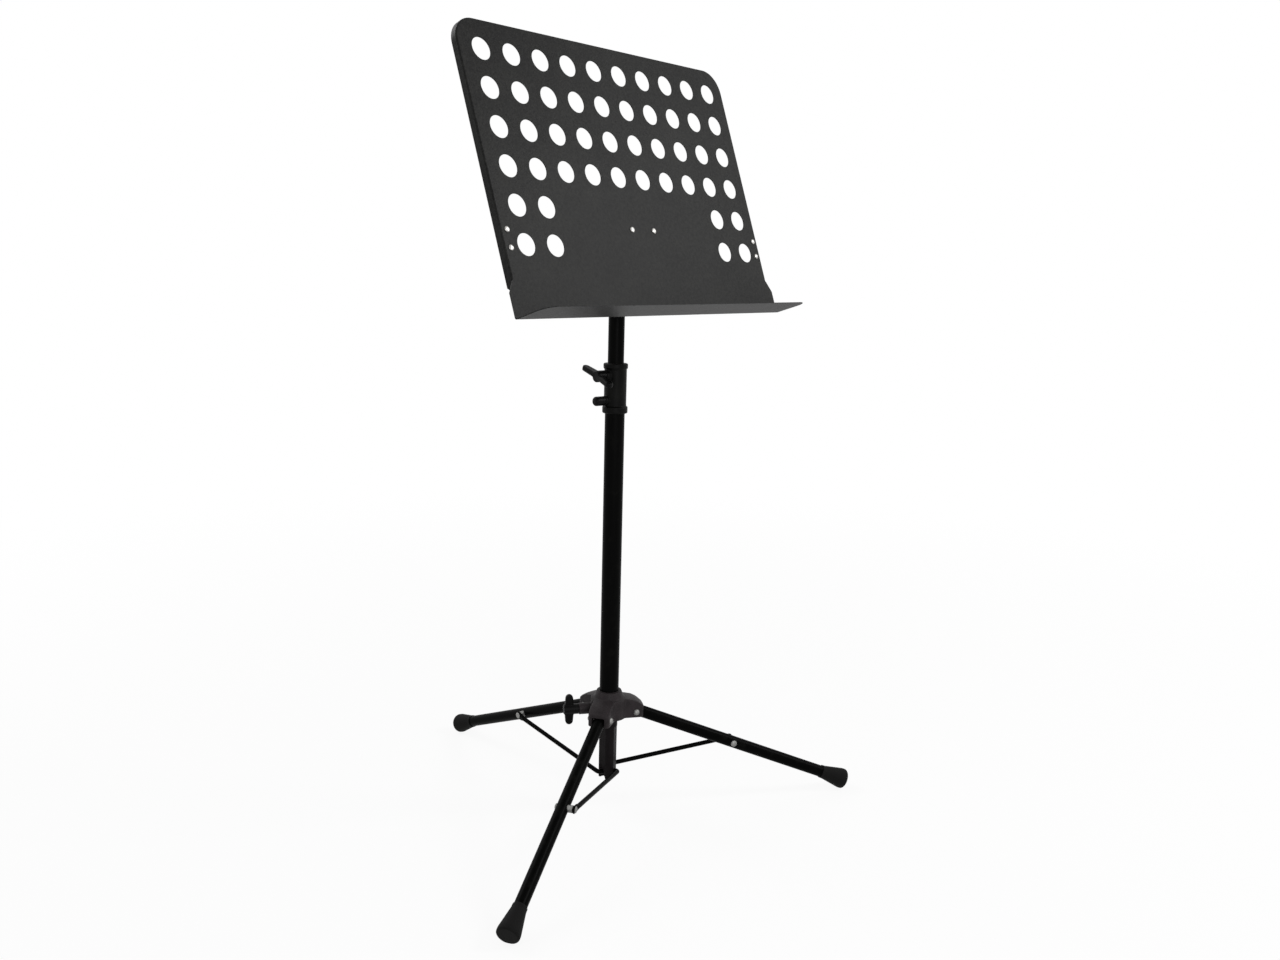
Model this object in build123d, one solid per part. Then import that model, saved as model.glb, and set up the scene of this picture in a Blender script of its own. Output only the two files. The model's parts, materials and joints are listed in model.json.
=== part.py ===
from build123d import *
import os
from math import atan2, cos, degrees, hypot, radians, sin

# Folding orchestral music stand: three hinged legs under a hub that slides on the
# post, one wire strut from each leg to an anchor under the post, a telescopic post
# with a clamp collar, and a perforated sheet-steel desk on a tilt hinge.
# Millimetres. The origin is on the post's axis at floor level, +Z up, and the
# reader stands on the -Y side. Two bodies that touch have a running gap.

# ---------------------------------------------------------------- clearances
running = 0.06            # radial play of a shaft in its hole
gap = 0.3                 # free play between two bodies that pass each other

# ---------------------------------------------------------------- desk sheet
sheet = 0.8               # sheet thickness of the desk
desk_half_width = 235.5   # to the fold of the side flange
desk_foot_half_width = 243.8   # flat width beside the ledge
desk_above = 101.5        # top edge above the middle of the hole field
desk_below = 239.5        # underside of the ledge fold below the same point
desk_corner = 30.0        # top corner radius
flange_depth = 9.0        # stiffening flange around the sides and the top, at the top edge
flange_foot_depth = 10.6  # and at its lower end
flange_end = 206.0        # the flange stops this far below the hole field's middle
flange_taper = 4.0        # length over which its edge slopes up to the sheet
flange_tail = 6.5         # depth left at the very end
flare_start = 196.0       # the sheet widens beside the ledge between these two
flare_end = 210.0
bend_radius = 1.8         # outer radius of the flange's fold

hole_radius = 13.1
hole_columns = 10
hole_rows = 4             # full rows, above the plain middle
side_rows = 2             # rows below those, with holes at the sides only
side_columns = 2          # holes at each side of a side row
column_pitch = 45.0
row_pitch = 44.5
side_rivet_inset = 9.1         # from the fold of the side flange
side_rivet_drops = (139.4, 160.0)   # below the middle of the hole field
side_rivet_radius = 2.0
side_rivet_head = 3.5
side_rivet_dome = 1.3

ledge_depth = 50.8        # from the front of the panel
ledge_droop = 1.5         # degrees past square
ledge_corner = 16.0
ledge_outer_bend = 2.2
ledge_inner_bend = 1.4

# ---------------------------------------------------------------- desk hinge
desk_tilt = 19.3          # lean of the panel from upright, degrees
hinge_height = 754.3
hinge_drop = 132.2        # hinge below the middle of the hole field, along the sheet
hinge_setback = 42.6      # hinge behind the front of the sheet

bracket_sheet = 2.0
bracket_width = 58.0
bracket_height = 40.0
cheek_height = 24.0
bracket_rivet_offset = 20.0
bracket_rivet_radius = 2.4
bracket_rivet_head = 3.8
bracket_rivet_dome = 1.6

tilt_bolt_radius = 4.0
tilt_bolt_head_radius = 7.0
tilt_bolt_head_height = 5.0
tilt_washer_radius = 8.5
tilt_washer_height = 1.4
tilt_thread_reach = 8.0   # bolt beyond the washer, inside the wing knob

head_half_width = 11.0    # barrel of the post head, along X
head_barrel_radius = 10.5
head_socket_radius = 12.6
head_socket_drop = 30.0   # bottom of the socket below the hinge
head_seat_drop = 15.0     # top end of the upper tube below the hinge
head_pin_radius = 2.0
head_pin_drop = 23.0

# ---------------------------------------------------------------- post
lower_radius = 12.7
lower_wall = 1.2
lower_bottom = 126.0
lower_top = 600.0
upper_radius = 10.3
upper_wall = 1.2
plug_height = 25.0        # guide plug at the foot of the upper tube
plug_floor = 5.0

collar_radius = 14.3
collar_cap = 4.0          # the collar stands above the lower tube by this
collar_length = 63.5
collar_lip = 1.9          # lower rim, beyond the body
collar_lip_height = 9.0
collar_rim = 1.3          # upper rim
collar_rim_height = 7.0
collar_chamfer = 1.0
sleeve_length = 46.0      # plastic sleeve that guides the upper tube

clamp_azimuth = 170.0     # side of the collar that the screws enter
collar_boss_radius = 7.4
collar_boss_reach = 18.6
collar_screw_radius = 3.0
collar_wing_drop = 15.7   # clamp screw below the top of the collar
collar_wing_turn = -19.0  # degrees of the wings from level
tension_drop = 47.1       # tension screw below the top of the collar
tension_knob_radius = 6.0
tension_knob_length = 14.5
tension_boss_radius = 6.2
tension_knob_crown = 3.5

# ---------------------------------------------------------------- wing knobs
collar_knob_radius = 7.4
hub_knob_radius = 6.8
tilt_knob_radius = 6.8
knob_length = 13.0
hub_knob_length = 20.0
knob_bore = 9.0           # depth of the screw's hole in a knob
wing_thickness = 6.6
wing_root_radius = 6.4    # half the blade's width, along the screw, at the middle
wing_tip_radius = 5.0
wing_edge = 1.6
collar_wing_reach = 30.0
collar_wing_rise = 6.4    # the blade's middle, from the knob's seat along the screw
collar_wing_rake = 3.5    # the tips lean out along the screw
hub_wing_reach = 20.6
hub_wing_rise = 12.5
hub_wing_rake = 0.0
tilt_wing_reach = 24.5
tilt_wing_rise = 6.4
tilt_wing_rake = 6.3

# ---------------------------------------------------------------- hub
leg_count = 3
front_leg_azimuth = 204.4
leg_names = ("front", "right", "left")
pivot_radius = 35.0       # leg hinge from the post's axis
hub_bore_wall = 2.5       # plastic bush
hub_depth = 7.5           # of the casting below the leg hinges
hub_core_radius = 24.0
hub_reach = 45.5
hub_cheek = 6.2
hub_shoulder_rise = 16.8  # heights of the bell above the leg hinges
hub_dome_rise = 20.3
hub_dome_radius = 20.0
hub_neck_rise = 29.3
hub_rim_rise = 8.6
hub_rim_width = 5.0       # slope from the top of the arm down to its end face
hub_skirt_radius = 2.5
bush_margin = 2.0
pivot_rivet_radius = 3.0
pivot_rivet_head = 4.3
rivet_dome = 3.0

knob_azimuth = 144.4
hub_screw_radius = 4.0
hub_screw_rise = 5.0
hub_boss_radius = 7.6
hub_boss_reach = 41.0
pad_length = 4.0

# ---------------------------------------------------------------- legs
leg_radius = 8.0
leg_wall = 1.2
leg_angle = 22.4          # below level when spread
leg_length = 322.0        # hinge to the lower end of the tube
leg_plug_length = 26.0
foot_overlap = 25.0       # rubber on the tube, from its lower end
foot_beyond = 14.0        # and past that end
foot_collar = 5.0         # straight neck, from the upper end of the rubber
foot_lip = 6.0            # straight rim at the lower end
foot_ground = 11.2        # the middle of the foot's end face, above the floor
foot_neck_radius = 9.0
foot_flare_radius = 9.1
foot_radius = 13.9
foot_round = 2.5

# ---------------------------------------------------------------- struts
strut_radius = 3.0
strut_side = 15.2         # struts run beside the legs, this far off their plane
strut_on_leg = 152.5      # strut rivet from the leg's hinge
strut_flat_length = 9.0   # the wire's end is pressed flat, up to its rivet
strut_flat_half = 1.6     # half the thickness of that flat
strut_pad_radius = 5.3
strut_rivet_radius = 2.5
strut_rivet_head = 4.2
strut_rivet_dome = 1.6
strut_rivet_seat = 0.4    # the head's rim stands off the tube by this
spacer_radius = 4.6

anchor_radius = 12.0
anchor_flat = 10.2        # three flats, where the struts pass
anchor_bottom = 45.5
anchor_pin_height = 54.5  # strut ends sit here
anchor_neck = 118.0       # the flats end below a round seat for the tube
anchor_spigot = 14.0
anchor_pin_depth = 5.2    # reach of a strut end into the anchor
slot_play = 0.35
slot_flare = 0.32         # the slots widen downwards on one side, as a slope

# ---------------------------------------------------------------- derived sizes
leg_slope = radians(leg_angle)
foot_start = leg_length - foot_overlap
foot_end = leg_length + foot_beyond
pivot_height = foot_end * sin(leg_slope) + foot_ground
hub_bottom = pivot_height - hub_depth
hub_shoulder_height = pivot_height + hub_shoulder_rise
hub_dome_height = pivot_height + hub_dome_rise
hub_neck_height = pivot_height + hub_neck_rise
hub_rim_height = pivot_height + hub_rim_rise
hub_screw_height = pivot_height + hub_screw_rise
collar_top = lower_top + collar_cap
collar_bottom = collar_top - collar_length
collar_wing_height = collar_top - collar_wing_drop
tension_height = collar_top - tension_drop
tube_bore = lower_radius - lower_wall
plug_bottom = lower_bottom + anchor_spigot + gap
upper_bottom = plug_bottom + plug_floor + gap
upper_top = hinge_height - head_seat_drop
bush_outer = lower_radius + running + hub_bore_wall
slot_half = leg_radius + gap
cheek_outer = slot_half + hub_cheek
spacer_top = strut_side - strut_flat_half - gap
tau = radians(desk_tilt)
strut_pivot = (
    pivot_radius + strut_on_leg * cos(leg_slope),
    pivot_height - strut_on_leg * sin(leg_slope),
)

# the desk's own frame: x along it, y up the sheet, z out of its front
sheet_up = Vector(0, sin(tau), cos(tau))
sheet_out = Vector(0, -cos(tau), sin(tau))
hinge = Vector(0, 0, hinge_height)
desk_frame = Plane(
    origin=hinge + sheet_up * hinge_drop + sheet_out * hinge_setback,
    x_dir=(1, 0, 0),
    z_dir=sheet_out,
)
bolt_frame = Plane(origin=hinge, x_dir=(0, 1, 0), z_dir=(1, 0, 0))
cheek_out = head_half_width + gap + bracket_sheet      # outer face of a bracket cheek
rivet_places = (-bracket_rivet_offset, bracket_rivet_offset)
side_rivet_offset = desk_half_width - side_rivet_inset
side_rivet_places = [(side * side_rivet_offset, -drop) for side in (-1, 1) for drop in side_rivet_drops]


def leg_azimuth(index):
    return front_leg_azimuth + index * 360.0 / leg_count


def leg_plane(index):
    """A leg's upright plane on the post's axis: x outward, y up, and the strut is on the -z side."""
    a = radians(leg_azimuth(index))
    outward = Vector(cos(a), sin(a), 0)
    return Plane(origin=(0, 0, 0), x_dir=outward, z_dir=outward.cross(Vector(0, 0, 1)))


def screw_frame(azimuth, reach, height):
    """z points away from the post along a clamp screw, and y is up."""
    a = radians(azimuth)
    outward = Vector(cos(a), sin(a), 0)
    return Plane(
        origin=outward * reach + Vector(0, 0, height),
        x_dir=Vector(0, 0, 1).cross(outward),
        z_dir=outward,
    )


def rod(radius, start, end):
    """A cylinder along z between two heights."""
    return Pos(0, 0, start) * Cylinder(radius, end - start, align=(Align.CENTER, Align.CENTER, Align.MIN))


def tube(radius, wall, start, end):
    return rod(radius, start, end) - rod(radius - wall, start, end)


def turned(points):
    """A solid turned about z from (radius, height) points."""
    return revolve(Plane.XZ * make_face(Polyline(points, close=True)), Axis.Z)


def dome(radius, height, seat):
    """A low rivet head on the plane z = seat, in the direction of height's sign."""
    ball = (radius * radius + height * height) / (2 * abs(height))
    up = 1 if height > 0 else -1
    cap = Pos(0, 0, seat + height - up * ball) * Sphere(ball)
    slab = rod(radius, min(seat, seat + height), max(seat, seat + height))
    return cap & slab


def wing_knob(bore, body, length, spread, rise, rake):
    """A two-winged clamp knob: z is the screw's axis, the wings spread along x."""
    barrel = fillet(rod(body, 0, length).edges().group_by(Axis.Z)[-1], wing_edge)
    tip_x = spread - wing_tip_radius
    root = Pos(0, rise) * Circle(wing_root_radius)
    tip = Pos(tip_x, rise + rake) * Circle(wing_tip_radius)
    blade = make_face(make_hull(root.edges() + tip.edges()))
    wing = extrude(Plane.XZ * blade, wing_thickness / 2, both=True)
    wing = fillet(wing.edges().filter_by(lambda e: abs(e.center().Y) > wing_thickness / 2 - 0.01), wing_edge)
    return barrel + wing + mirror(wing, Plane.YZ) - rod(bore, -1, knob_bore)


# ---------------------------------------------------------------- desk
def sheet_block(inset, front, back):
    """The desk's rounded outline, drawn in by inset, as a block between two depths."""
    half = desk_half_width - inset
    foot = -flange_end - (flange_foot_depth if inset else 0)
    height = desk_above - inset - foot
    outline = Pos(0, foot + height / 2) * Rectangle(2 * half, height)
    outline = fillet(outline.vertices().group_by(Axis.Y)[-1], desk_corner - inset)
    block = extrude(Pos(0, 0, back) * outline, front - back)
    rim = block.edges().group_by(Axis.Z)[-1].filter_by(lambda e: e.center().Y > foot + 1)
    return fillet(rim, bend_radius - inset)


def desk_sheet():
    """One bent sheet: the perforated panel, its flange, and the ledge folded forward."""
    pan = sheet_block(0, 0, -flange_foot_depth) - sheet_block(sheet, -sheet, -flange_foot_depth - 1)
    taper = make_face(Polyline([
        (desk_above + 1, -flange_depth),
        (flange_taper - flange_end, -flange_foot_depth),
        (-flange_end, -flange_tail),
        (-flange_end - 1, -flange_tail),
        (-flange_end - 1, -flange_foot_depth - 1),
        (desk_above + 1, -flange_foot_depth - 1),
    ], close=True))
    pan -= extrude(Plane.YZ * taper, desk_half_width + 1, both=True)

    flare = [
        (desk_half_width - bend_radius, bend_radius - flare_start),
        (desk_half_width, -flare_start),
        (desk_foot_half_width, -flare_end),
    ]
    flare_face = make_face(Polyline(flare + [(-x, y) for x, y in reversed(flare)], close=True))
    skirt = extrude(flare_face, -sheet)

    droop = radians(ledge_droop)
    along = Vector(-sin(droop), cos(droop))
    above = Vector(cos(droop), sin(droop)) * sheet
    heel = Vector(-desk_below, -sheet)
    tip = heel + along * ((ledge_depth + sheet) / cos(droop))
    crook = heel + above + along * (sheet * (1 - sin(droop)) / cos(droop))
    corners = [Vector(-flare_end, -sheet), Vector(-flare_end, 0), crook, tip + above, tip, heel]
    profile = make_face(Polyline([(v.X, v.Y) for v in corners], close=True))
    for corner, bend in ((crook, ledge_inner_bend), (heel, ledge_outer_bend)):
        profile = fillet(profile.vertices().sort_by_distance(corner)[0], bend)
    ledge = extrude(Plane.YZ * profile, desk_foot_half_width, both=True)
    tips = ledge.edges().filter_by(
        lambda e: e.length < sheet * 1.5
        and e.center().Z > ledge_depth - sheet
        and abs(e.center().X) > desk_foot_half_width - 1
    )
    ledge = fillet(tips, ledge_corner)

    holes = [(column, row) for row in range(hole_rows) for column in range(hole_columns)]
    ends = list(range(side_columns)) + list(range(hole_columns - side_columns, hole_columns))
    holes += [(column, hole_rows + row) for row in range(side_rows) for column in ends]
    cuts = [
        Pos((c - (hole_columns - 1) / 2) * column_pitch, ((hole_rows - 1) / 2 - r) * row_pitch)
        * rod(hole_radius, -2 * sheet, sheet)
        for c, r in holes
    ]
    cuts += [
        Pos(x, y) * rod(side_rivet_radius, -2 * sheet, sheet) for x, y in side_rivet_places
    ]
    cuts += [Pos(x, -hinge_drop) * rod(bracket_rivet_radius, -2 * sheet, sheet) for x in rivet_places]
    return pan + skirt + ledge - cuts


def tilt_bracket():
    """A bent steel bracket: a base on the back of the desk and two cheeks for the bolt."""
    back = -sheet - bracket_sheet
    base = extrude(Pos(0, 0, back) * RectangleRounded(bracket_width, bracket_height, 5), bracket_sheet)
    base = Pos(0, -hinge_drop) * base
    arm = Pos(0, (back - hinge_setback) / 2) * Rectangle(cheek_height, hinge_setback + back)
    arm = arm + Pos(0, -hinge_setback) * Circle(cheek_height / 2)
    cheek = extrude(Plane.YZ * arm, bracket_sheet)
    for side in (head_half_width + gap, -head_half_width - gap - bracket_sheet):
        base += Pos(side, -hinge_drop) * cheek
    base -= [Pos(x, -hinge_drop) * rod(bracket_rivet_radius, back - 1, 1) for x in rivet_places]
    bolt_hole = rod(tilt_bolt_radius, -cheek_out - 1, cheek_out + 1)
    return base - Pos(0, -hinge_drop, -hinge_setback) * Rot(0, 90, 0) * bolt_hole


def sheet_rivet(radius, head, height, back):
    """A rivet through the desk, with a low head on the front and one on the back."""
    return rod(radius, back, 0) + dome(head, height, 0) + dome(head, -height, back)


def bracket_rivets():
    rivet = sheet_rivet(bracket_rivet_radius, bracket_rivet_head, bracket_rivet_dome, -sheet - bracket_sheet)
    return [Pos(x, -hinge_drop) * rivet for x in rivet_places]


def side_rivets():
    rivet = sheet_rivet(side_rivet_radius, side_rivet_head, side_rivet_dome, -sheet)
    return [Pos(x, y) * rivet for x, y in side_rivet_places]


nodes = {
    "desk_panel": desk_frame.location * desk_sheet(),
    "tilt_bracket": desk_frame.location * tilt_bracket(),
    "bracket_rivets": [desk_frame.location * r for r in bracket_rivets()],
    "side_rivets": [desk_frame.location * r for r in side_rivets()],
}

# the tilt bolt lies across the post, its head on the -X side and the knob on the +X side
knob_seat = cheek_out + tilt_washer_height + gap
bolt = rod(tilt_bolt_radius, -cheek_out, knob_seat + tilt_thread_reach)
bolt += Pos(0, 0, -cheek_out - tilt_bolt_head_height) * extrude(
    RegularPolygon(tilt_bolt_head_radius, 6), tilt_bolt_head_height
)
nodes["tilt_bolt"] = bolt_frame.location * bolt
washer = rod(tilt_washer_radius, cheek_out, cheek_out + tilt_washer_height)
nodes["tilt_washer"] = bolt_frame.location * (washer - rod(tilt_bolt_radius, 0, knob_seat))
nodes["tilt_wing_knob"] = bolt_frame.location * Pos(0, 0, knob_seat) * wing_knob(
    tilt_bolt_radius + running, tilt_knob_radius, knob_length, tilt_wing_reach, tilt_wing_rise, tilt_wing_rake
)

# ---------------------------------------------------------------- post head and upper tube
head_pin = Rot(0, 90, 0) * rod(head_pin_radius, -head_socket_radius, head_socket_radius)
head_pin = Pos(0, 0, -head_pin_drop) * head_pin
head = Rot(0, 90, 0) * rod(head_barrel_radius, -head_half_width, head_half_width)
head += rod(upper_radius, -head_seat_drop, 0)
head += rod(head_socket_radius, -head_socket_drop, -head_seat_drop + 2)
head -= rod(upper_radius, -head_socket_drop - 1, -head_seat_drop)
head -= Rot(0, 90, 0) * rod(tilt_bolt_radius + running, -head_half_width - 1, head_half_width + 1)
nodes["post_head"] = Pos(*hinge) * (head - head_pin)
nodes["head_pin"] = Pos(*hinge) * head_pin
nodes["upper_tube"] = tube(upper_radius, upper_wall, upper_bottom, upper_top) - Pos(*hinge) * head_pin

# ---------------------------------------------------------------- guide plug and lower tube
plug_top = plug_bottom + plug_height
plug = rod(tube_bore - running, plug_bottom, plug_top)
nodes["guide_plug"] = plug - rod(upper_radius + running, plug_bottom + plug_floor, plug_top + 1)

clamp_hole = screw_frame(clamp_azimuth, 0, collar_wing_height).location * rod(
    collar_screw_radius + running, 0, collar_boss_reach + 1
)
tension_hole = screw_frame(clamp_azimuth, 0, tension_height).location * rod(
    collar_screw_radius + running, 0, collar_boss_reach + 1
)
nodes["lower_tube"] = tube(lower_radius, lower_wall, lower_bottom, lower_top) - clamp_hole - tension_hole

# ---------------------------------------------------------------- clamp collar
collar = rod(collar_radius, collar_bottom, collar_top)
lip = rod(collar_radius + collar_lip, collar_bottom, collar_bottom + collar_lip_height)
rim = rod(collar_radius + collar_rim, collar_top - collar_rim_height, collar_top)
for ring in (lip, rim):
    collar += chamfer(ring.edges().filter_by(GeomType.CIRCLE), collar_chamfer)
for radius, height in ((collar_boss_radius, collar_wing_height), (tension_boss_radius, tension_height)):
    collar += screw_frame(clamp_azimuth, 0, height).location * rod(radius, 0, collar_boss_reach)
collar -= rod(lower_radius, collar_bottom - 1, collar_top + 1)
nodes["clamp_collar"] = collar - clamp_hole - tension_hole
sleeve = rod(tube_bore, lower_top - sleeve_length, lower_top) + rod(lower_radius, lower_top, collar_top)
nodes["guide_sleeve"] = sleeve - rod(upper_radius + running, lower_bottom, collar_top + 1)


def clamp_screw(azimuth, height, radius, start, seat, turn, knob_sizes, name):
    """A screw between two distances from the post's axis, and the wing knob on its end."""
    frame = screw_frame(azimuth, 0, height)
    nodes[name + "_screw"] = frame.location * rod(radius, start, seat + knob_bore)
    knob = Rot(0, 0, turn) * wing_knob(radius, *knob_sizes)
    nodes[name + "_wing_knob"] = frame.location * Pos(0, 0, seat) * knob


clamp_screw(
    clamp_azimuth, collar_wing_height, collar_screw_radius,
    tube_bore + gap, collar_boss_reach + gap, collar_wing_turn,
    (collar_knob_radius, knob_length, collar_wing_reach, collar_wing_rise, collar_wing_rake), "collar",
)

tension_frame = screw_frame(clamp_azimuth, 0, tension_height)
tension_seat = collar_boss_reach + gap
cap = rod(tension_knob_radius, tension_seat, tension_seat + tension_knob_length)
cap = fillet(cap.edges().filter_by(GeomType.CIRCLE).sort_by(Axis.Z)[-1], tension_knob_crown)
tension_screw = rod(collar_screw_radius, tube_bore + gap, tension_seat + knob_bore)
nodes["tension_screw"] = tension_frame.location * tension_screw
nodes["tension_knob"] = tension_frame.location * (cap - tension_screw)

# ---------------------------------------------------------------- hub
core = Circle(hub_core_radius)
for index in range(leg_count):
    core += Rot(0, 0, leg_azimuth(index)) * Pos(hub_reach / 2, 0) * Rectangle(hub_reach, 2 * cheek_outer)
core = fillet(core.vertices().filter_by(lambda v: hypot(v.X, v.Y) > hub_reach - 1), hub_skirt_radius * 2)
core = fillet(core.vertices().filter_by(lambda v: hypot(v.X, v.Y) < hub_core_radius + 3), hub_skirt_radius)
bell = turned([
    (0, hub_bottom),
    (hub_reach + 1, hub_bottom),
    (hub_reach + 1, hub_rim_height),
    (hub_reach - hub_rim_width, hub_rim_height + hub_rim_width + gap),
    (pivot_radius, hub_shoulder_height),
    (hub_dome_radius, hub_dome_height),
    (bush_outer + 1, hub_neck_height),
    (0, hub_neck_height),
])
hub = bell & extrude(Pos(0, 0, hub_bottom) * core, hub_neck_height - hub_bottom)
knob_frame = screw_frame(knob_azimuth, 0, hub_screw_height)
hub += knob_frame.location * rod(hub_boss_radius, 0, hub_boss_reach)
hub -= rod(bush_outer, hub_bottom - 1, hub_neck_height + 1)
pad_hole = knob_frame.location * rod(hub_screw_radius + running, 0, hub_boss_reach + 1)

swing = slot_half            # room above the leg, measured from its hinge
upright = Vector(sin(leg_slope), cos(leg_slope)) * swing
outward = Vector(cos(leg_slope), -sin(leg_slope)) * hub_reach
pivot = Vector(pivot_radius, pivot_height)
slot = make_face(Polyline([
    (pivot_radius - swing, hub_bottom - 1),
    (pivot_radius - swing, pivot_height),
    (pivot_radius, pivot_height),
    ((pivot + upright).X, (pivot + upright).Y),
    ((pivot + upright + outward).X, (pivot + upright + outward).Y),
    ((pivot + upright + outward).X, hub_bottom - 1),
], close=True)) + Pos(pivot_radius, pivot_height) * Circle(swing)
pivot_rod = Pos(pivot_radius, pivot_height) * rod(pivot_rivet_radius, -cheek_outer, cheek_outer)
pivot_rivet = pivot_rod + Pos(pivot_radius, pivot_height) * (
    dome(pivot_rivet_head, rivet_dome, cheek_outer) + dome(pivot_rivet_head, -rivet_dome, -cheek_outer)
)
for index in range(leg_count):
    hub -= leg_plane(index).location * extrude(slot, slot_half, both=True)
    hub -= leg_plane(index).location * pivot_rod
nodes["hub_casting"] = hub - pad_hole
nodes["leg_pivot_rivets"] = [leg_plane(i).location * pivot_rivet for i in range(leg_count)]
bush = rod(bush_outer, hub_bottom + bush_margin, hub_neck_height)
nodes["hub_bush"] = bush - rod(lower_radius + running, hub_bottom, hub_neck_height + 1) - pad_hole
pad_start = lower_radius + gap
pad = rod(hub_screw_radius + running, pad_start, pad_start + pad_length)
nodes["hub_clamp_pad"] = knob_frame.location * pad
clamp_screw(
    knob_azimuth, hub_screw_height, hub_screw_radius,
    pad_start + pad_length + gap, hub_boss_reach + gap, 90,
    (hub_knob_radius, hub_knob_length, hub_wing_reach, hub_wing_rise, hub_wing_rake), "hub",
)

# ---------------------------------------------------------------- brace anchor
anchor = rod(anchor_radius, anchor_bottom, lower_bottom)
anchor += rod(tube_bore, lower_bottom, lower_bottom + anchor_spigot)
mouth = strut_radius + slot_play
drop = anchor_pin_height - anchor_bottom + 1
slot_mouth = [(mouth, 0), (mouth, -drop), (-mouth - slot_flare * drop, -drop), (-mouth, 0)]
slot_face = make_face(Polyline(slot_mouth, close=True)) + Circle(mouth)
slot_face = Pos(0, anchor_pin_height) * slot_face
pin_tip = anchor_flat - anchor_pin_depth
strut_slot = extrude(Pos(0, 0, -anchor_flat - 1) * slot_face, anchor_flat + 1 - pin_tip + gap)
flat_cut = Pos(0, (anchor_bottom + anchor_neck) / 2, -anchor_flat - 5) * Box(
    4 * anchor_radius, anchor_neck - anchor_bottom, 10
)
flat_cut += Pos(0, anchor_bottom - 1, -anchor_flat - 5) * Box(4 * anchor_radius, 4, 10)
for index in range(leg_count):
    anchor -= leg_plane(index).location * strut_slot
    anchor -= leg_plane(index).location * flat_cut
nodes["brace_anchor"] = anchor


# ---------------------------------------------------------------- legs
def along_x(radius, start, end):
    return Rot(0, 90, 0) * rod(radius, start, end)


leg_nose = leg_radius                    # round inner end, about the hinge
nose_waste = Pos(-leg_nose, 0, 0) * Box(2 * leg_nose, 4 * leg_radius, 4 * leg_radius) - rod(
    leg_nose, -3 * leg_radius, 3 * leg_radius
)
pivot_hole = rod(pivot_rivet_radius + running, -2 * leg_radius, 2 * leg_radius)
strut_hole = Pos(strut_on_leg, 0) * rod(strut_rivet_radius, -2 * leg_radius, 2 * leg_radius)
leg_bore = leg_radius - leg_wall
leg_skin = along_x(leg_radius, -leg_nose, leg_length)
leg_tube = leg_skin - along_x(leg_bore, -leg_nose - 1, leg_length + 1)
leg_tube = leg_tube - nose_waste - pivot_hole - strut_hole
leg_plug = along_x(leg_bore, -leg_nose, leg_plug_length - leg_nose) - nose_waste - pivot_hole

foot_face = make_face(Polyline([
    (foot_start, leg_radius),
    (foot_start, foot_neck_radius),
    (foot_start + foot_collar, foot_flare_radius),
    (foot_end - foot_lip, foot_radius),
    (foot_end, foot_radius),
    (foot_end, 0),
    (leg_length, 0),
    (leg_length, leg_radius),
], close=True))
foot_face = fillet(foot_face.vertices().sort_by_distance(Vector(foot_end, foot_radius))[0], foot_round)
foot = revolve(foot_face, Axis.X)
below_floor = Pos(0, 0, -foot_end / 2) * Box(4 * foot_end, 4 * foot_end, foot_end)

rivet_seat = -strut_side - strut_flat_half - gap
near_seat = leg_radius + strut_rivet_seat
near_head = rod(strut_rivet_head, leg_radius - 1, near_seat)
near_head += dome(strut_rivet_head, strut_rivet_dome, near_seat)
strut_rivet = (
    rod(strut_rivet_radius, rivet_seat, leg_radius)
    + (near_head - Pos(-strut_on_leg, 0) * leg_skin)
    + dome(strut_rivet_head, -strut_rivet_dome, rivet_seat)
)
spacer = rod(spacer_radius, -spacer_top, 0) - rod(strut_rivet_radius, -spacer_top - 1, 1)
spacer = spacer - Pos(-strut_on_leg, 0) * leg_skin

# the strut in its leg's upright plane, from the anchor at x = 0 to the pad on the leg
run = Vector(strut_pivot[0], strut_pivot[1] - anchor_pin_height)
strut_slope = degrees(atan2(run.Y, run.X))
flat_start = run.length - strut_flat_length - strut_radius
flat = Pos(flat_start) * Box(
    run.length - flat_start, 2 * strut_radius - running, 2 * strut_flat_half,
    align=(Align.MIN, Align.CENTER, Align.CENTER),
)
pad = Pos(run.length) * rod(strut_pad_radius, -strut_flat_half, strut_flat_half)
wire = along_x(strut_radius, 0, run.length - strut_flat_length) + flat + pad
wire -= Pos(run.length) * rod(strut_rivet_radius + running, -strut_flat_half - 1, strut_flat_half + 1)
pin = rod(strut_radius, 0, strut_side - pin_tip) + Sphere(strut_radius)
strut = Pos(0, anchor_pin_height, -strut_side) * (Rot(0, 0, strut_slope) * wire + pin)

for index, name in enumerate(leg_names):
    upright_plane = leg_plane(index).location
    on_leg = upright_plane * Pos(pivot_radius, pivot_height) * Rot(0, 0, -leg_angle)
    at_strut = on_leg * Pos(strut_on_leg, 0)
    nodes["leg_tube_" + name] = on_leg * leg_tube
    nodes["leg_plug_" + name] = on_leg * leg_plug
    nodes["foot_" + name] = on_leg * foot - below_floor
    nodes["strut_rivet_" + name] = at_strut * strut_rivet
    nodes["strut_spacer_" + name] = at_strut * spacer
    nodes["brace_strut_" + name] = upright_plane * strut

os.makedirs("parts", exist_ok=True)
for name, shape in nodes.items():
    if isinstance(shape, list):
        shape = Compound(children=shape)
    shape.label = name
    export_step(shape, f"parts/{name}.step")
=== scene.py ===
# %% [markdown]
# # A folding orchestral music stand
# A perforated sheet-steel desk with a ledge sits on a telescopic post over a braced,
# folding tripod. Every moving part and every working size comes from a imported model,
# the frame. This script adds what the frame leaves plain: soft moulded edges, plated
# rivets, the bead of paint round each punched hole, and the finish of every surface.
# Lengths here are in millimetres and are turned into metres where a mesh is made.

# %% Tools and the frame
import json
from math import cos, radians, sin

import bmesh
import bpy
from mathutils import Matrix, Vector


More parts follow.
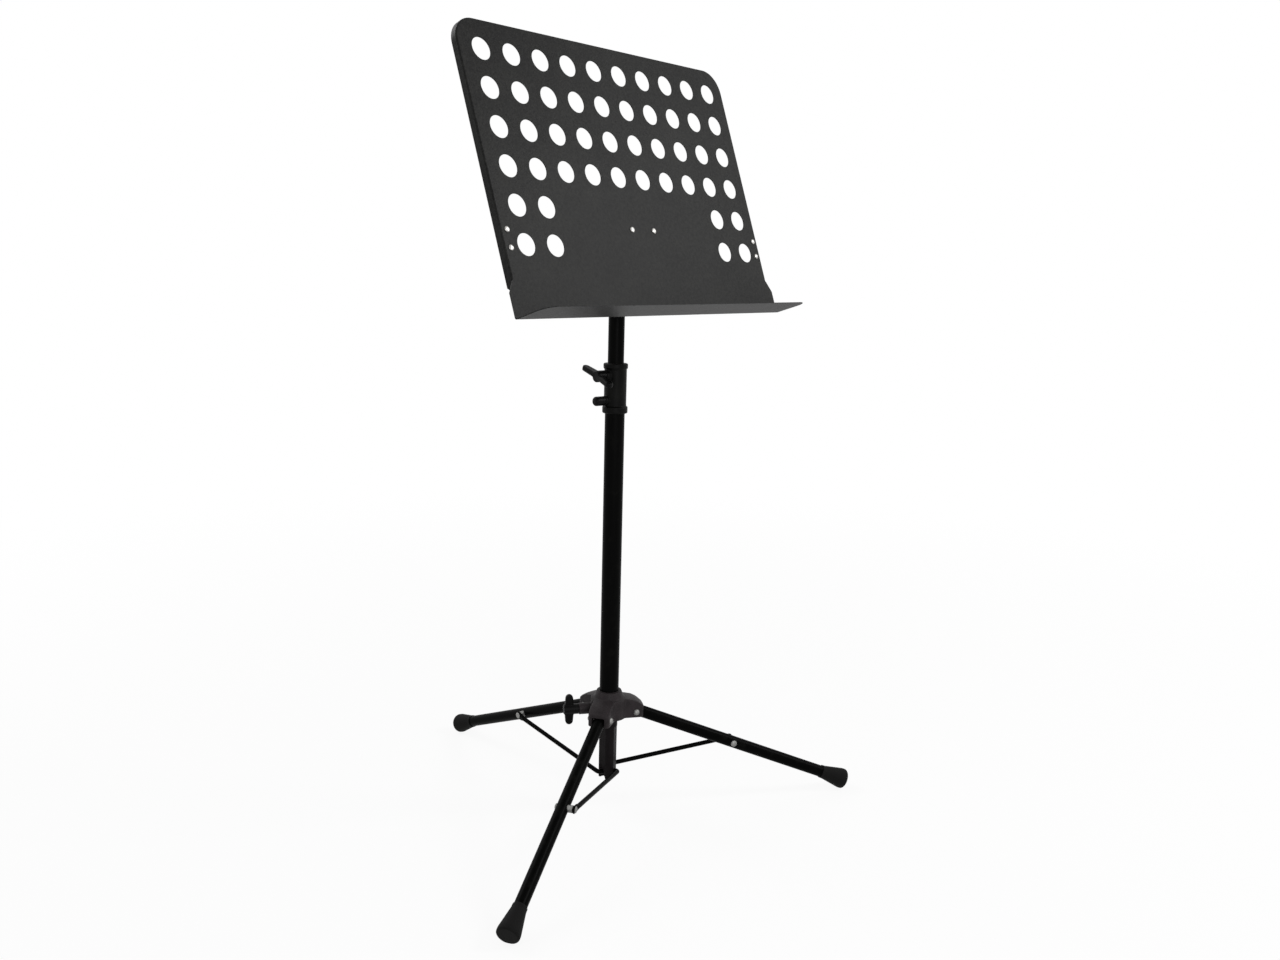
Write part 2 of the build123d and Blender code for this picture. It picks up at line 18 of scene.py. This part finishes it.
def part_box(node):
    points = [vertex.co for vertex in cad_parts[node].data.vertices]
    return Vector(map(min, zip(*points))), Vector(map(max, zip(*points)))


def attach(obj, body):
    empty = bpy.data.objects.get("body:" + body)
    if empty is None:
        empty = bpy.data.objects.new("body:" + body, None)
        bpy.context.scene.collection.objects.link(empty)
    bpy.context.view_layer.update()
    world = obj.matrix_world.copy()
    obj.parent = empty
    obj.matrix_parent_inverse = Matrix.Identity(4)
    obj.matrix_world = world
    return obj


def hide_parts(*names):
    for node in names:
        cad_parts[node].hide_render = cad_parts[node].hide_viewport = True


MM = 0.001
legs = ("front", "right", "left")
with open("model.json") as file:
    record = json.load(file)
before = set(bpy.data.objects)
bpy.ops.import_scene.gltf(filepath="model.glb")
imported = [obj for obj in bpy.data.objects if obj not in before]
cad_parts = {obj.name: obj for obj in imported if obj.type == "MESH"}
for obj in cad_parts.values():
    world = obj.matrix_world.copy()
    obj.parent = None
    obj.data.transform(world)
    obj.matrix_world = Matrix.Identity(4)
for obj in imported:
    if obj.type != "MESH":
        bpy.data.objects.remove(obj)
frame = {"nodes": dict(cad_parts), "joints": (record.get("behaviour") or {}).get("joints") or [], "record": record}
nodes = frame["nodes"]
joints = {joint["name"]: joint for joint in frame["joints"]}
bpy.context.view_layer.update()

# %% [markdown]
# ## The camera
# The stand is seen from its front left, from about the height of the ledge, with a
# slightly wide lens. The camera rolls a little, as a hand-held one does. Three angles
# and a place say it all, so the matrix is built from them: where it looks, its right,
# and its down.

# %% Camera
camera_place = Vector((-1.09272, -0.98314, 0.72931))
camera_turn = radians(-49.36)
camera_fall = radians(10.60745)
camera_roll = radians(-1.43249)

level_ahead = Vector((-sin(camera_turn), cos(camera_turn), 0))
ahead = cos(camera_fall) * level_ahead - sin(camera_fall) * Vector((0, 0, 1))
level_right = Vector((cos(camera_turn), sin(camera_turn), 0))
level_down = ahead.cross(level_right)
right = cos(camera_roll) * level_right + sin(camera_roll) * level_down
down = -sin(camera_roll) * level_right + cos(camera_roll) * level_down

lens = bpy.data.cameras.new("camera")
lens.sensor_width = 36.0
lens.lens = 32.568
camera = bpy.data.objects.new("camera", lens)
bpy.context.scene.collection.objects.link(camera)
camera.matrix_world = Matrix((
    (right.x, -down.x, -ahead.x, camera_place.x),
    (right.y, -down.y, -ahead.y, camera_place.y),
    (right.z, -down.z, -ahead.z, camera_place.z),
    (0, 0, 0, 1),
))
bpy.context.scene.camera = camera
bpy.context.scene.view_settings.view_transform = "Standard"

# %% [markdown]
# ## Node graphs as Python
# A material or a Geometry Nodes tree is a graph. Wiring it line by line hides the sum
# that it works out, so one small class wraps a socket and lets + - * / and ** add the
# Math nodes. Everything else goes through one method, which sets a node's own
# options first and then its sockets.

# %% Wires and graphs
class Wire:
    """One output socket, written as a value in an expression."""

    def __init__(self, graph, socket):
        self.graph = graph
        self.socket = socket

    def sum_with(self, operation, first, second):
        return self.graph.node("ShaderNodeMath", {"operation": operation}, {0: first, 1: second})

    def __add__(self, other):
        return self.sum_with("ADD", self, other)

    def __sub__(self, other):
        return self.sum_with("SUBTRACT", self, other)

    def __rsub__(self, other):
        return self.sum_with("SUBTRACT", other, self)

    def __mul__(self, other):
        return self.sum_with("MULTIPLY", self, other)

    def __truediv__(self, other):
        return self.sum_with("DIVIDE", self, other)

    def __pow__(self, other):
        return self.sum_with("POWER", self, other)

    __radd__ = __add__
    __rmul__ = __mul__

    def least(self, other):
        return self.sum_with("MINIMUM", self, other)

    def most(self, other):
        return self.sum_with("MAXIMUM", self, other)

    def ramp(self, low, high):
        """0 below low, 1 above high, and smooth between them."""
        return self.graph.node(
            "ShaderNodeMapRange",
            {"interpolation_type": "SMOOTHSTEP"},
            {"Value": self, "From Min": low, "From Max": high},
        )


class Graph:
    """A node tree, with one method that adds any node."""

    def __init__(self, tree):
        self.tree = tree

    def node(self, kind, settings=None, inputs=None, output=0):
        made = self.tree.nodes.new(kind)
        for option, value in (settings or {}).items():
            setattr(made, option, value)
        for socket, value in (inputs or {}).items():
            if isinstance(value, Wire):
                self.tree.links.new(value.socket, made.inputs[socket])
            else:
                made.inputs[socket].default_value = value
        return Wire(self, made.outputs[output])


# %% [markdown]
# ## Finishes
# Each finish is one Principled shader whose colour, roughness and bump come from noise
# read in Object coordinates. A piece's place is in its mesh, so those coordinates
# are metres in the stand's own frame and a grain keeps its real size on every piece.

# %% Finish helper
def mixed(graph, share, low, high):
    """A colour between two, by a share from 0 to 1."""
    return graph.node("ShaderNodeMix", {"data_type": "RGBA"}, {0: share, 6: low, 7: high}, 2)


def grey(level, tint=(0, 0, 0)):
    return (level + tint[0], level + tint[1], level + tint[2], 1)


class Finish(Graph):
    """A material with its shader, and the noises that its surface is made of."""

    def __init__(self, name, metallic=0.0, specular=0.5):
        self.material = bpy.data.materials.new(name)
        self.material.use_nodes = True
        super().__init__(self.material.node_tree)
        self.tree.nodes.clear()
        self.shader = self.tree.nodes.new("ShaderNodeBsdfPrincipled")
        self.shader.inputs["Metallic"].default_value = metallic
        self.shader.inputs["Specular IOR Level"].default_value = specular
        end = self.tree.nodes.new("ShaderNodeOutputMaterial")
        self.tree.links.new(self.shader.outputs[0], end.inputs["Surface"])
        self.place = self.node("ShaderNodeTexCoord", output="Object")

    def noise(self, grain_mm, detail=2.0, roughness=0.5, stretch=None):
        """Smooth noise from 0 to 1 whose lumps are about grain_mm across."""
        place = self.place
        if stretch:
            place = self.node("ShaderNodeMapping", inputs={"Vector": place, "Scale": stretch})
        return self.node("ShaderNodeTexNoise", inputs={
            "Vector": place, "Scale": 1 / (grain_mm * MM), "Detail": detail, "Roughness": roughness,
        })

    def set(self, colour, roughness, height=None, depth_mm=0.05, strength=1.0):
        for socket, value in (("Base Color", colour), ("Roughness", roughness)):
            if isinstance(value, Wire):
                self.tree.links.new(value.socket, self.shader.inputs[socket])
            else:
                self.shader.inputs[socket].default_value = value
        if height is not None:
            bump = self.node("ShaderNodeBump", inputs={
                "Strength": strength, "Distance": depth_mm * MM, "Height": height,
            })
            self.tree.links.new(bump.socket, self.shader.inputs["Normal"])
        return self.material


# %% [markdown]
# ### Powder coat on the desk
# Dry paint powder melts into a skin with a fine orange-peel texture. On a wide
# flat sheet that texture is what the eye reads: lumps of one to two millimetres that
# catch the light, over patches that differ a little in tone.

# %% Desk powder coat
desk_coat = Finish("desk powder coat", specular=0.08)
peel = desk_coat.noise(1.6, detail=3)
lumps = desk_coat.noise(4.0, detail=2)
patches = desk_coat.noise(70, detail=2)
tone = 0.45 * peel + 0.35 * lumps + 0.2 * patches
desk_material = desk_coat.set(
    mixed(desk_coat, tone.ramp(0.34, 0.66), grey(0.004), grey(0.0165, (0.0004, 0.0004, -0.0007))),
    0.38 + 0.14 * peel,
    peel + 0.5 * lumps,
    depth_mm=0.20,
)

# %% [markdown]
# ### Enamel on tubes and wires
# The tubes carry a smoother, glossier black. Drawn tube keeps faint lines along its
# length, and hands and clamps leave dull scuffs, which show as patches of roughness
# more than as colour.

# %% Tube enamel
def enamel(name, along, dark, light, specular):
    coat = Finish(name, specular=specular)
    fine = coat.noise(1.2, detail=2)
    lines = coat.noise(2.0, detail=1, stretch=along)
    scuffs = coat.noise(14, detail=3, roughness=0.6).ramp(0.52, 0.72)
    return coat.set(
        mixed(coat, scuffs * 0.6 + lines * 0.3, dark, light),
        0.28 + 0.10 * lines + 0.14 * scuffs,
        fine * 0.6 + lines * 0.4,
        depth_mm=0.05,
    )


post_material = enamel("post enamel", (1, 1, 0.08), grey(0.0010), grey(0.0030, (0, 0, -0.0004)), 0.025)
leg_material = enamel("leg enamel", (0.6, 0.6, 0.6), grey(0.0010), grey(0.0042, (0, 0, -0.0005)), 0.015)

# %% [markdown]
# ### Moulded plastic and rubber
# The hub, the collar and the anchor are glass-filled nylon, which has a fine spark
# grain and a faintly warm black. The knobs are a smoother moulding. The feet are rubber:
# dull, with dust held in the grain towards the floor.

# %% Moulded finishes
def moulded(name, dark, light, grain_mm, rough, depth_mm, specular=0.06):
    skin = Finish(name, specular=specular)
    grain = skin.noise(grain_mm, detail=2)
    cloud = skin.noise(18, detail=2)
    return skin.set(
        mixed(skin, (0.5 * grain + 0.5 * cloud).ramp(0.35, 0.65), dark, light),
        rough + 0.14 * grain,
        grain,
        depth_mm=depth_mm,
    )


hub_material = moulded(
    "hub nylon", grey(0.011, (0.0018, 0, 0.0004)), grey(0.024, (0.0055, 0, 0.0018)),
    0.7, 0.42, 0.08, specular=0.10,
)
collar_material = moulded("collar nylon", grey(0.0015), grey(0.0045, (0, 0, -0.0006)), 0.7, 0.38, 0.08)
anchor_material = moulded(
    "anchor nylon", grey(0.002, (0.0008, 0, 0)), grey(0.0055, (0.0016, 0, 0.0008)), 0.7, 0.42, 0.08
)
knob_material = moulded("knob nylon", grey(0.0015), grey(0.0045), 0.5, 0.32, 0.04)

rubber = Finish("foot rubber", specular=0.08)
rubber_grain = rubber.noise(0.6, detail=3)
height = rubber.node("ShaderNodeSeparateXYZ", inputs={"Vector": rubber.place}, output="Z")
dust = (1 - height.ramp(0.0, 0.012)) * rubber.noise(4, detail=4).ramp(0.4, 0.7)
rubber_material = rubber.set(
    mixed(rubber, 0.25 * rubber_grain + 0.5 * dust, grey(0.003), grey(0.018, (0.002, 0.001, 0))),
    0.62 + 0.2 * rubber_grain,
    rubber_grain,
    depth_mm=0.08,
)

# %% [markdown]
# ### Plated metal
# The desk's rivets are bright nickel, the pins and rivets of the legs are worn to a dull
# grey, and the bolts are zinc plated. All are metal whose roughness changes in small
# patches, with fine scratches.

# %% Plated finishes
def plated(name, colour, rough, dull):
    metal = Finish(name, metallic=1.0)
    cloud = metal.noise(3, detail=3)
    scratches = metal.noise(0.9, detail=2, stretch=(1, 1, 0.15))
    darker = tuple(channel * 0.75 for channel in colour[:3]) + (1,)
    return metal.set(
        mixed(metal, cloud.ramp(0.4, 0.7), darker, colour),
        rough + dull * cloud,
        scratches,
        depth_mm=0.02,
    )


rivet_material = plated("nickel plate", (0.48, 0.47, 0.45, 1), 0.28, 0.14)
worn_material = plated("worn plate", (0.28, 0.28, 0.27, 1), 0.44, 0.16)
bolt_material = plated("zinc plate", (0.42, 0.43, 0.44, 1), 0.32, 0.2)

# %% Finishes on the frame's own nodes
slot_finish = {
    "desk_enamel": desk_material,
    "bracket_enamel": post_material,
    "tube_enamel": post_material,
    "strut_steel": leg_material,
    "bright_rivet": rivet_material,
    "zinc_steel": bolt_material,
    "foot_rubber": rubber_material,
    "hub_plastic": hub_material,
    "collar_plastic": collar_material,
    "anchor_plastic": anchor_material,
    "knob_plastic": knob_material,
    "inner_nylon": hub_material,
}
slot_of = {part["node"]: part["material_slot"] for part in frame["record"]["subparts"]}
for name, node in nodes.items():
    finish = slot_finish[slot_of[name]]
    if name.startswith("leg_tube"):
        finish = leg_material
    if name.startswith(("strut_spacer", "strut_rivet", "leg_pivot")):
        finish = worn_material
    for index in range(len(node.material_slots)):
        node.material_slots[index].material = finish

# %% [markdown]
# ## Moulded edges
# A moulded part has no sharp edge: the tool rounds each one and the plastic shrinks a
# little as it cools. Bevels on a shape with this many crossing faces would break, so
# the frame's own solid is copied, rebuilt as an even skin of small cells, and then
# relaxed, which rounds every edge by about the same amount.

# %% Softened copies
def softened(name, node, body, cell_mm, passes):
    """A copy of a frame node as one even skin with rounded edges, which stands for it."""
    mesh = nodes[node].data.copy()
    skin = bpy.data.objects.new(name, mesh)
    bpy.context.scene.collection.objects.link(skin)
    merge = bmesh.new()
    merge.from_mesh(mesh)
    bmesh.ops.remove_doubles(merge, verts=merge.verts, dist=0.002 * MM)
    merge.to_mesh(mesh)
    merge.free()
    cells = skin.modifiers.new("cells", "REMESH")
    cells.mode = "VOXEL"
    cells.voxel_size = cell_mm * MM
    cells.use_smooth_shade = True
    relax = skin.modifiers.new("relax", "SMOOTH")
    relax.factor = 0.5
    relax.iterations = passes
    bpy.context.view_layer.update()
    made = bpy.data.meshes.new_from_object(skin.evaluated_get(bpy.context.evaluated_depsgraph_get()))
    skin.modifiers.clear()
    skin.data = made
    finish_piece(skin, body, slot_of[node], node)
    print(name, len(made.polygons), "faces")
    return skin


def finish_piece(piece, body, slot, *replaced):
    piece.data.materials.clear()
    piece.data.materials.append(slot_finish[slot])
    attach(piece, body)
    if replaced:
        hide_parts(*replaced)


for piece, node, body, cell_mm, passes in (
    ("hub_shell", "hub_casting", "hub", 0.7, 4),
    ("collar_shell", "clamp_collar", "post", 0.6, 4),
    ("anchor_shell", "brace_anchor", "post", 0.5, 3),
    ("head_shell", "post_head", "riser", 0.5, 4),
    ("hub_knob_grip", "hub_wing_knob", "hub_knob", 0.4, 4),
    ("collar_knob_grip", "collar_wing_knob", "collar_knob", 0.4, 4),
    ("tilt_knob_grip", "tilt_wing_knob", "tilt_knob", 0.4, 4),
    ("tension_knob_grip", "tension_knob", "tension_knob", 0.35, 4),
):
    softened(piece, node, body, cell_mm, passes)
for leg in legs:
    softened("foot_boot_" + leg, "foot_" + leg, "leg_" + leg, 0.6, 5)

# %% [markdown]
# ## Shapes that follow a rule
# Bent wires, rings round holes and rivets are each one small recipe used many times, so
# Geometry Nodes make them. A tree has named inputs for its sizes, starts from a few
# points or edges that say where, and ends as a plain mesh with its finish on.

# %% Geometry trees
class Recipe(Graph):
    """A Geometry Nodes tree with named inputs, which is used up into a plain mesh."""

    def __init__(self, name, **inputs):
        group = bpy.data.node_groups.new(name, "GeometryNodeTree")
        face = group.interface
        self.key = {}
        face.new_socket("Start", in_out="INPUT", socket_type="NodeSocketGeometry")
        for label, kind in dict(inputs, finish="Material").items():
            socket = face.new_socket(label, in_out="INPUT", socket_type="NodeSocket" + kind)
            self.key[label] = socket.identifier
        face.new_socket("Made", in_out="OUTPUT", socket_type="NodeSocketGeometry")
        super().__init__(group)
        self.entry = group.nodes.new("NodeGroupInput")

    def given(self, label):
        return Wire(self, self.entry.outputs[label])

    def facing(self):
        """The turn that points an instance's Z along its point's own facing."""
        field = self.node(
            "GeometryNodeInputNamedAttribute", {"data_type": "FLOAT_VECTOR"}, {"Name": "facing"}
        )
        return self.node("FunctionNodeAlignRotationToVector", {"axis": "Z"}, {"Vector": field})

    def ends(self, geometry):
        """Real faces, smooth, in the finish: the last nodes of every recipe."""
        whole = self.node("GeometryNodeRealizeInstances", inputs={0: geometry})
        smooth = self.node("GeometryNodeSetShadeSmooth", inputs={0: whole})
        finish = self.given("finish")
        painted = self.node("GeometryNodeSetMaterial", inputs={0: smooth, "Material": finish})
        last = self.tree.nodes.new("NodeGroupOutput")
        self.tree.links.new(painted.socket, last.inputs[0])

    def make(self, name, start, body, slot, *replaced, **values):
        """The recipe's result from a starting mesh, as one plain piece on one body."""
        piece = bpy.data.objects.new(name, start)
        bpy.context.scene.collection.objects.link(piece)
        step = piece.modifiers.new("recipe", "NODES")
        step.node_group = self.tree
        for label, value in dict(values, finish=slot_finish[slot]).items():
            step[self.key[label]] = value
        bpy.context.view_layer.update()
        view = bpy.context.evaluated_depsgraph_get()
        made = bpy.data.meshes.new_from_object(piece.evaluated_get(view))
        piece.modifiers.clear()
        piece.data = made
        finish_piece(piece, body, slot, *replaced)
        print(name, len(made.polygons), "faces")
        return piece


def points_mesh(name, places, edges=(), **directions):
    """Points in millimetres, with their edges and any direction that each point carries."""
    mesh = bpy.data.meshes.new(name)
    mesh.from_pydata([Vector(place) * MM for place in places], list(edges), [])
    for label, values in directions.items():
        field = mesh.attributes.new(label, "FLOAT_VECTOR", "POINT")
        field.data.foreach_set("vector", [part for value in values for part in value])
    return mesh


# %% [markdown]
# ### The three strut wires
# A strut is one piece of round wire. Its inner end turns square into the anchor under
# the post, with the round corner that a press gives, and its outer end is pressed flat
# for the rivet on the leg. The recipe takes the wire's middle line as edges, rounds its
# corners, runs a circle along it, and then presses the last stretch: thinner across the
# wire, wider along the flat, with a round tip.

# %% Strut recipe
bent_wire = Recipe(
    "bent wire", wire_radius="Float", bend_radius="Float", pad_radius="Float", pad_half="Float",
    pad_place="Vector", pad_along="Vector", pad_facing="Vector",
)
line = bent_wire.node("GeometryNodeMeshToCurve", inputs={0: bent_wire.given("Start")})
rounded = bent_wire.node("GeometryNodeFilletCurve", {"mode": "POLY"}, {
    "Curve": line, "Count": 8, "Radius": bent_wire.given("bend_radius"), "Limit Radius": True,
})
even = bent_wire.node("GeometryNodeResampleCurve", {"mode": "LENGTH"}, {
    "Curve": rounded, "Length": 1.1 * MM,
})
section = bent_wire.node("GeometryNodeCurvePrimitiveCircle", inputs={
    "Resolution": 20, "Radius": bent_wire.given("wire_radius"),
})
round_wire = bent_wire.node("GeometryNodeCurveToMesh", inputs={
    "Curve": even, "Profile Curve": section, "Fill Caps": True,
})


def vector_sum(recipe, operation, first, second, output=0):
    return recipe.node("ShaderNodeVectorMath", {"operation": operation}, {0: first, 1: second}, output)


pad_place = bent_wire.given("pad_place")
pad_along = bent_wire.given("pad_along")
pad_facing = bent_wire.given("pad_facing")
pad_radius = bent_wire.given("pad_radius")
pad_across = vector_sum(bent_wire, "CROSS_PRODUCT", pad_facing, pad_along)
reach = vector_sum(bent_wire, "SUBTRACT", bent_wire.node("GeometryNodeInputPosition"), pad_place)
along = vector_sum(bent_wire, "DOT_PRODUCT", reach, pad_along, "Value")
off = vector_sum(bent_wire, "DOT_PRODUCT", reach, pad_facing, "Value")
side = vector_sum(bent_wire, "DOT_PRODUCT", reach, pad_across, "Value")
pressed = 1 - (0 - along).ramp(pad_radius, 2.6 * pad_radius)
past = along.most(0) / pad_radius
tip = (1 - past * past).most(0.02) ** 0.5
off = off * (1 - pressed * (1 - bent_wire.given("pad_half") / bent_wire.given("wire_radius")))
side = side * (1 + pressed * (pad_radius / bent_wire.given("wire_radius") - 1)) * tip
where = pad_place
for direction, distance in ((pad_along, along), (pad_facing, off), (pad_across, side)):
    step = bent_wire.node(
        "ShaderNodeVectorMath", {"operation": "SCALE"}, {"Vector": direction, "Scale": distance}
    )
    where = vector_sum(bent_wire, "ADD", where, step)
bent_wire.ends(bent_wire.node("GeometryNodeSetPosition", inputs={
    "Geometry": round_wire, "Position": where,
}))

# %% Strut wires
wire_radius = 3.0
wire_side = 15.2          # the wire runs beside the leg's middle plane
wire_pin_end = 5.0        # how near to the post's axis the inner end reaches
wire_bend = 5.0           # middle line of the square turn at the anchor
flat_radius = 5.3
flat_half = 1.6           # half the thickness of the pressed end
tip_margin = 0.05         # the wire stops just short of the full radius of its tip

for leg in legs:
    rivet = Vector(joints["strut_" + leg + "_fold"]["pos_m"]) / MM
    outward = Vector((rivet.x, rivet.y, 0)).normalized()
    aside = -outward.cross(Vector((0, 0, 1)))
    pin_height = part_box("brace_strut_" + leg)[0][2] / MM + wire_radius
    corner = Vector((0, 0, pin_height)) + wire_side * aside
    pad = rivet + wire_side * aside
    run = (pad - corner).normalized()
    inner_end = Vector((0, 0, pin_height)) + wire_pin_end * aside
    route = [inner_end, corner, pad + (flat_radius - tip_margin) * run]
    bent_wire.make(
        "strut_wire_" + leg, points_mesh("strut line " + leg, route, [(0, 1), (1, 2)]),
        "strut_" + leg, "strut_steel", "brace_strut_" + leg,
        wire_radius=wire_radius * MM, bend_radius=wire_bend * MM,
        pad_radius=flat_radius * MM, pad_half=flat_half * MM,
        pad_place=list(pad * MM), pad_along=list(run), pad_facing=list(aside),
    )

# %% [markdown]
# ### The painted lip of each punched hole
# A punch rounds one edge of the hole and leaves a small burr on the other, and powder
# coat draws thick on both, so each hole has a smooth lip of paint that catches a thin
# line of light. It is one small ring, set out on the same grid as the holes.

# %% Desk place
desk_lean = radians(19.3)
desk_up = Vector((0, sin(desk_lean), cos(desk_lean)))
desk_out = Vector((0, -cos(desk_lean), sin(desk_lean)))
hinge_drop = 132.2        # from the middle of the hole field down to the tilt bolt
hinge_setback = 42.6      # from the desk's face back to the tilt bolt
desk_middle = Vector(joints["tilt"]["pos_m"]) / MM + hinge_drop * desk_up + hinge_setback * desk_out
sheet = 0.8


def on_desk(x, y, z):
    """A place on the desk: across, up from the middle of the holes, and out of its face."""
    return desk_middle + Vector((x, 0, 0)) + y * desk_up + z * desk_out


# %% Lip recipe
hole_radius = 13.1
lip_offset = 0.32         # the bead's middle line lies this far outside the hole
lip_wire = 0.47           # half the bead's thickness, a little over half the sheet
column_pitch, row_pitch = 45.0, 44.5
columns, rows, full_rows, side_columns = 10, 6, 4, 2

lips = Recipe("hole lips", lip_radius="Float", lip_wire="Float")
ring = lips.node("GeometryNodeCurveToMesh", inputs={
    "Curve": lips.node("GeometryNodeCurvePrimitiveCircle", inputs={
        "Resolution": 40, "Radius": lips.given("lip_radius"),
    }),
    "Profile Curve": lips.node("GeometryNodeCurvePrimitiveCircle", inputs={
        "Resolution": 8, "Radius": lips.given("lip_wire"),
    }),
})
towards = lips.facing()
lips.ends(lips.node("GeometryNodeInstanceOnPoints", inputs={
    "Points": lips.given("Start"), "Instance": ring, "Rotation": towards,
}))

# %% Hole lips
places = [
    on_desk(
        (column - (columns - 1) / 2) * column_pitch,
        ((full_rows - 1) / 2 - row) * row_pitch,
        -sheet / 2,
    )
    for row in range(rows)
    for column in range(columns)
    if row < full_rows or column < side_columns or column >= columns - side_columns
]
print("holes", len(places))
lips.make(
    "hole_lips", points_mesh("hole places", places, facing=[desk_out] * len(places)),
    "desk", "desk_enamel", lip_radius=(hole_radius + lip_offset) * MM, lip_wire=lip_wire * MM,
)

# %% [markdown]
# ### Rivet heads
# A rivet head is a low dome that the press leaves slightly flat on top, with a thin edge
# that stands off the metal. The recipe presses a ball into that shape: its upper half to
# the dome's height and its lower half to the thin edge. Then it sets one at each place,
# turned to face out of the sheet.

# %% Rivet recipe
heads = Recipe("rivet heads", head_radius="Float", dome_height="Float", edge_height="Float")
ball = heads.node("GeometryNodeMeshUVSphere", inputs={"Segments": 28, "Rings": 16, "Radius": 1.0})
spot = heads.node("GeometryNodeInputPosition")
across = [heads.node("ShaderNodeSeparateXYZ", inputs={0: spot}, output=axis) for axis in range(3)]
above = across[2].most(0)
below = across[2].least(0)
flatter = above * (1.45 - 0.45 * above)
height = flatter * heads.given("dome_height") + below * heads.given("edge_height")
pressed = heads.node("GeometryNodeSetPosition", inputs={
    "Geometry": ball,
    "Position": heads.node("ShaderNodeCombineXYZ", inputs={
        0: across[0] * heads.given("head_radius"), 1: across[1] * heads.given("head_radius"), 2: height,
    }),
})
towards = heads.facing()
heads.ends(heads.node("GeometryNodeInstanceOnPoints", inputs={
    "Points": heads.given("Start"), "Instance": pressed, "Rotation": towards,
}))


def rivets(name, body, replaced, spots, head_radius, dome_height, edge_height=0.3):
    """Rivet heads on one body. Each spot is where a head sits, and the way it faces."""
    places = [place for place, facing in spots]
    start = points_mesh(name, places, facing=[facing for place, facing in spots])
    return heads.make(
        name, start, body, "bright_rivet", replaced,
        head_radius=head_radius * MM, dome_height=dome_height * MM, edge_height=edge_height * MM,
    )


# %% Rivets of the desk
bracket_back = -2.8       # the back of the bracket's flange, behind the desk's face
side_rivet_offset = 226.4
side_rivet_drops = (139.4, 160.0)
bracket_rivet_offset = 20.0
head_seat = 0.2           # a head's middle stands this far off the metal
side_spots = [(side * side_rivet_offset, -drop) for side in (-1, 1) for drop in side_rivet_drops]
bracket_spots = [(side * bracket_rivet_offset, -hinge_drop) for side in (-1, 1)]

for name, node, spots, back, head_radius, dome_height in (
    ("side_rivet_heads", "side_rivets", side_spots, -sheet, 3.5, 1.3),
    ("bracket_rivet_heads", "bracket_rivets", bracket_spots, bracket_back, 3.8, 1.6),
):
    front_heads = [(on_desk(x, y, head_seat), desk_out) for x, y in spots]
    back_heads = [(on_desk(x, y, back - head_seat), -desk_out) for x, y in spots]
    rivets(name, "desk", node, front_heads + back_heads, head_radius, dome_height)

# %% [markdown]
# ## The room
# A pale floor and a white surround, with large soft lamps. The floor is seen as nearly
# white and still keeps the stand's shadow: part of what the camera sees there is the lit
# floor and part is plain white.

# %% Floor
floor_mesh = bpy.data.meshes.new("floor")
floor_half = 40.0
floor_mesh.from_pydata(
    [(-floor_half, -floor_half, 0), (floor_half, -floor_half, 0),
     (floor_half, floor_half, 0), (-floor_half, floor_half, 0)],
    [], [(0, 1, 2, 3)],
)
floor = bpy.data.objects.new("floor", floor_mesh)
floor.location.z = -0.0002
bpy.context.scene.collection.objects.link(floor)

floor_material = bpy.data.materials.new("floor")
floor_material.use_nodes = True
room = Graph(floor_material.node_tree)
room.tree.nodes.clear()
rays = room.tree.nodes.new("ShaderNodeLightPath")
seen = Wire(room, rays.outputs["Is Camera Ray"])
seen = seen.most(Wire(room, rays.outputs["Is Glossy Ray"]))
seen = seen.most(Wire(room, rays.outputs["Is Transmission Ray"]))
lit = room.node("ShaderNodeBsdfDiffuse", inputs={"Color": (0.9, 0.9, 0.9, 1)})
white = room.node("ShaderNodeEmission", inputs={"Color": (1, 1, 1, 1), "Strength": 1.0})
spot = room.node("ShaderNodeTexCoord", output="Object")
away = room.node("ShaderNodeVectorMath", {"operation": "LENGTH"}, {0: spot}, "Value")
plain = (0.9 + 0.1 * away.ramp(0.3, 2.4)).least(1)
surface = room.node("ShaderNodeMixShader", inputs={0: seen * plain, 1: lit, 2: white})
out = room.tree.nodes.new("ShaderNodeOutputMaterial")
room.tree.links.new(surface.socket, out.inputs["Surface"])
floor_mesh.materials.append(floor_material)

# %% World
world = bpy.data.worlds.new("surround")
bpy.context.scene.world = world
world.use_nodes = True
sky = Graph(world.node_tree)
sky.tree.nodes.clear()
sky_rays = sky.tree.nodes.new("ShaderNodeLightPath")
sky_seen = Wire(sky, sky_rays.outputs["Is Camera Ray"])
sky_seen = sky_seen.most(Wire(sky, sky_rays.outputs["Is Glossy Ray"]))
sky_seen = sky_seen.most(Wire(sky, sky_rays.outputs["Is Transmission Ray"]))
sky_strength = 0.45 + 0.55 * sky_seen
background = sky.node("ShaderNodeBackground", inputs={"Color": (1, 1, 1, 1), "Strength": sky_strength})
sky_out = sky.tree.nodes.new("ShaderNodeOutputWorld")
sky.tree.links.new(background.socket, sky_out.inputs["Surface"])

# %% Lamps
def lamp(name, place, target, size, power):
    light = bpy.data.lights.new(name, "AREA")
    light.shape = "DISK"
    light.size = size
    light.energy = power
    holder = bpy.data.objects.new(name, light)
    bpy.context.scene.collection.objects.link(holder)
    holder.location = place
    holder.rotation_mode = "QUATERNION"
    holder.rotation_quaternion = (Vector(target) - Vector(place)).to_track_quat("-Z", "Y")


lamp("key", (1.32, -1.43, 1.7), (-0.1, 0, 0.75), 0.7, 20)
lamp("fill", (-1.4, -1.9, 1.0), (0, 0, 0.4), 1.0, 16)
lamp("rim", (-0.6, 2.4, 2.2), (0, 0, 0.6), 1.4, 25)
